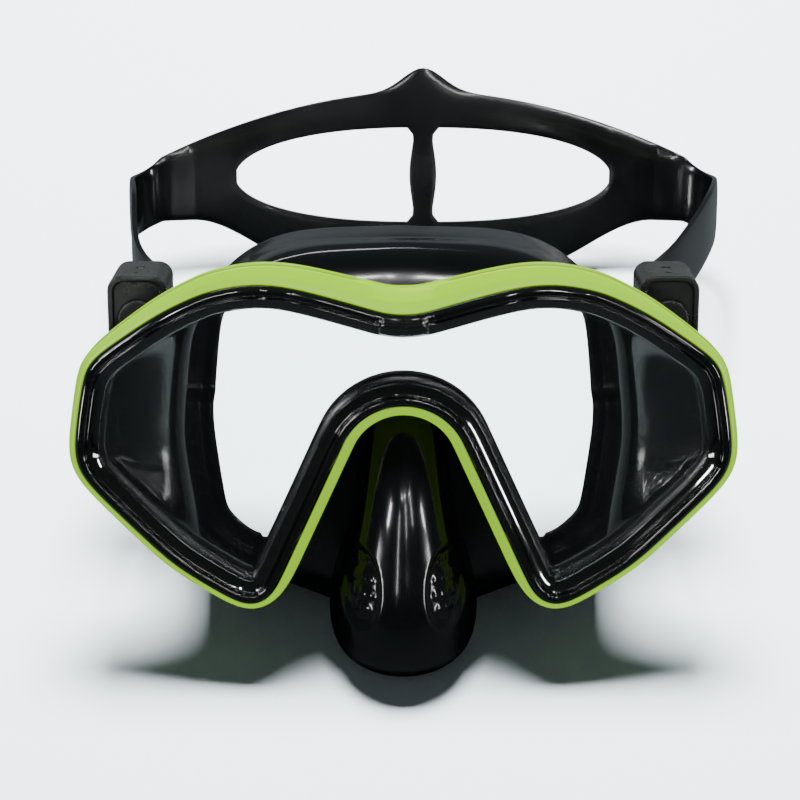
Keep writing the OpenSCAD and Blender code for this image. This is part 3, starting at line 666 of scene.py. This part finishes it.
grid = np.zeros((total, levels, 3))
for i, (px, py) in enumerate(allColumns):
    lowZ, topZ, plate = lowEdge(px, py), topEdge(px, py), onPlate(px, py)
    windowZ = mix((lowZ + topZ) / 2, bandZ + 7.5, plate)
    half = np.where(np.abs(px) > q["windowHalf"] + 0.3, mix(0.5, 0.6, plate), windowHalf(px))
    hl, hu = windowZ - half, windowZ + half
    ls = levelShares
    pz = np.where(ls <= 1, mix(lowZ, hl, ls),
                  np.where(ls <= 2, mix(hl, hu, ls - 1), mix(hu, topZ, ls - 2)))
    grid[i] = np.stack([px, py, pz], -1)
planLine = np.stack([grid[:, 0, 0], grid[:, 0, 1]], -1)
planTurn = np.zeros_like(planLine)
planTurn[1:-1] = unit(planLine[2:] - planLine[:-2])
planTurn[0], planTurn[-1] = planTurn[1], planTurn[-2]
side = np.stack([planTurn[:, 1], -planTurn[:, 0], np.zeros(total)], -1)[:, None]
crown = 1 - 0.32 * np.abs(2 * np.clip(levelShares / 3, 0, 1) - 1) ** 6
halfThick = (q["thick"] / 2 * crown)[None, :, None]
sway = q["sway"] * ease((grid[..., 1] - 62) / 80)
grid[..., 0] += sway
faceA, faceB = grid + side * halfThick, grid - side * halfThick
verts = placed(np.concatenate([faceA.reshape(-1, 3), faceB.reshape(-1, 3)]))
base = total * levels
solidCell = {(i, j) for i in range(total - 1) for j in range(levels - 1) if not isOpen(i, j)}
faces = []
for i, j in sorted(solidCell):
    a, c, e, g = i * levels + j, i * levels + j + 1, (i + 1) * levels + j + 1, (i + 1) * levels + j
    faces += [(a, c, e, g), (base + g, base + e, base + c, base + a)]
    if (i - 1, j) not in solidCell:
        faces.append((c, a, base + a, base + c))
    if (i + 1, j) not in solidCell:
        faces.append((g, e, base + e, base + g))
    if (i, j - 1) not in solidCell:
        faces.append((a, g, base + g, base + a))
    if (i, j + 1) not in solidCell:
        faces.append((e, c, base + c, base + e))
strapPiece = newPiece("silicone_strap", verts, faces, "strap", silicone)
bevel = strapPiece.modifiers.new("edgeRound", "BEVEL")
bevel.width = q["edgeRound"] / 1000
bevel.segments = q["edgeSteps"]
bevel.limit_method = "ANGLE"
bevel.angle_limit = math.radians(q["edgeAngle"])
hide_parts("strap")
print("strap made", total, levels)

# carried-over pieces
finishes = {"lens": glass}
for side in ("left", "right"):
    for node, finish in (("buckle_ear", buckleBlack), ("swivel_pin", steel),
                         ("buckle_housing", buckleBlack), ("strap_roller", greyPlastic),
                         ("roller_pin", steel), ("pawl", greyPlastic), ("pawl_pin", steel),
                         ("pawl_spring", steel), ("release_button", buckleBlack)):
        finishes[side + "_" + node] = finish
for name, finish in finishes.items():
    for materialSlot in frame["nodes"][name].material_slots:
        materialSlot.material = finish
print("finishes given")

# table, lights and camera
table = {"colour": (0.77, 0.86, 0.91, 1), "patchColour": (0.755, 0.845, 0.895, 1),
         "mirrored": (0.03, 0.034, 0.036, 1), "size": 6.0}


def makeTable():  # pale to the eye, and dim in reflections, as in a dark room
    mat = bpy.data.materials.new("table_top")
    mat.use_nodes = True
    nodes, links = mat.node_tree.nodes, mat.node_tree.links
    shader = nodes["Principled BSDF"]
    shader.inputs["Roughness"].default_value = 0.9
    shader.inputs["Specular IOR Level"].default_value = 0.1
    grain, tone = nodes.new("ShaderNodeGroup"), nodes.new("ShaderNodeMix")
    grain.node_tree = grainTree
    grain.inputs["broadScale"].default_value = 3.0
    tone.data_type = "RGBA"
    tone.inputs[mixA].default_value = table["colour"]
    tone.inputs[mixB].default_value = table["patchColour"]
    links.new(grain.outputs["dullness"], tone.inputs["Factor"])
    links.new(tone.outputs[mixOut], shader.inputs["Base Color"])
    dim, pick = nodes.new("ShaderNodeBsdfDiffuse"), nodes.new("ShaderNodeMixShader")
    dim.inputs["Color"].default_value = table["mirrored"]
    path, mirrored = nodes.new("ShaderNodeLightPath"), nodes.new("ShaderNodeMath")
    mirrored.operation = "SUBTRACT"  # a ray through the lens counts as glossy too
    mirrored.use_clamp = True
    links.new(path.outputs["Is Glossy Ray"], mirrored.inputs[0])
    links.new(path.outputs["Is Transmission Ray"], mirrored.inputs[1])
    links.new(mirrored.outputs["Value"], pick.inputs["Fac"])
    links.new(shader.outputs["BSDF"], pick.inputs[1])
    links.new(dim.outputs["BSDF"], pick.inputs[2])
    links.new(pick.outputs["Shader"], nodes["Material Output"].inputs["Surface"])
    h = table["size"] / 2
    mesh = bpy.data.meshes.new("table_top")
    mesh.from_pydata([(-h, -h, 0), (h, -h, 0), (h, h, 0), (-h, h, 0)], [], [(0, 1, 2, 3)])
    mesh.materials.append(mat)
    top = bpy.data.objects.new("table_top", mesh)
    bpy.context.collection.objects.link(top)


makeTable()
centre = Vector(placed((0, 20, 0)))
lights = (  # name, place, size, watts, whether it shows in reflections alone
    ("overhead", (0.0, 0.42, 1.2), (0.5, 0.4), 100.0, False),
    ("leftStrip", (-0.62, -0.7, 0.62), (0.05, 0.3), 6.5, True),
    ("rightStrip", (0.85, -0.6, 0.5), (0.03, 0.3), 4.5, True),
    ("thinStrip", (0.12, -0.95, 0.75), (0.012, 0.45), 1.6, True),
    ("thinStripLeft", (-0.2, -0.95, 0.6), (0.01, 0.4), 1.2, True),
    ("thinStripRight", (0.4, -0.85, 0.8), (0.012, 0.4), 1.5, True),
    ("spotLeft", (-0.08, -0.75, 1.0), (0.03, 0.03), 0.8, True),
    ("spotMiddle", (0.06, -0.75, 1.02), (0.03, 0.03), 0.8, True),
    ("spotRight", (0.3, -0.7, 1.0), (0.03, 0.03), 0.8, True),
    ("lowLeft", (-0.85, -0.7, 0.22), (0.22, 0.1), 2.6, True),
    ("lowRight", (0.85, -0.7, 0.22), (0.22, 0.1), 2.6, True),
    ("leftWindow", (-1.0, 0.15, 0.8), (0.16, 0.3), 3.6, True),
    ("rightWindow", (1.0, 0.3, 0.9), (0.16, 0.3), 3.6, True),
    ("backWindow", (-0.3, 1.1, 0.9), (0.6, 0.08), 4.5, True))
strapLights = (  # these shine on the strap alone
    ("strapLeft", (-0.24, -1.0, 0.44), (0.1, 0.16), 3.0, True),
    ("strapRight", (0.2, -1.0, 0.36), (0.04, 0.3), 2.6, True),
    ("strapSpotLeft", (-0.46, -0.9, 0.4), (0.035, 0.035), 1.2, True),
    ("strapSpotRight", (0.5, -0.9, 0.42), (0.035, 0.035), 1.2, True),
    ("strapSpotLow", (0.42, -0.9, 0.28), (0.035, 0.035), 1.2, True))
strapOnly = bpy.data.collections.new("strapOnly")
strapOnly.objects.link(strapPiece)
for name, place, size, watts, mirrored in lights + strapLights:
    data = bpy.data.lights.new(name, "AREA")
    data.shape = "RECTANGLE"
    data.size, data.size_y = size
    data.energy = watts
    lamp = bpy.data.objects.new(name, data)
    lamp.location = place
    lamp.rotation_euler = (centre - Vector(place)).to_track_quat("-Z", "Y").to_euler()
    lamp.visible_glossy = mirrored
    lamp.visible_diffuse = not mirrored
    if name.startswith("strap"):
        lamp.light_linking.receiver_collection = strapOnly
    bpy.context.collection.objects.link(lamp)
studio = {"colour": (0.8, 0.92, 1.0, 1), "strength": 0.07}
world = bpy.data.worlds.new("studio")
world.use_nodes = True
world.node_tree.nodes["Background"].inputs["Color"].default_value = studio["colour"]
world.node_tree.nodes["Background"].inputs["Strength"].default_value = studio["strength"]
bpy.context.scene.world = world

shot = {"aim": (-0.9, 0.0, 10.7), "distance": 600.0, "above": 15.0, "lens": 104.1}
rise = math.radians(shot["above"])
eye = np.array(shot["aim"]) + shot["distance"] * np.array([0, -math.cos(rise), math.sin(rise)])
cameraData = bpy.data.cameras.new("camera")
cameraData.lens = shot["lens"]
cameraData.sensor_width = 36.0
cameraData.clip_start = 0.01
camera = bpy.data.objects.new("camera", cameraData)
bpy.context.collection.objects.link(camera)
camera.location = placed(eye)
camera.rotation_euler = (Vector(placed(shot["aim"])) - Vector(placed(eye))).to_track_quat(
    "-Z", "Y").to_euler()
bpy.context.scene.camera = camera
print("scene lit")
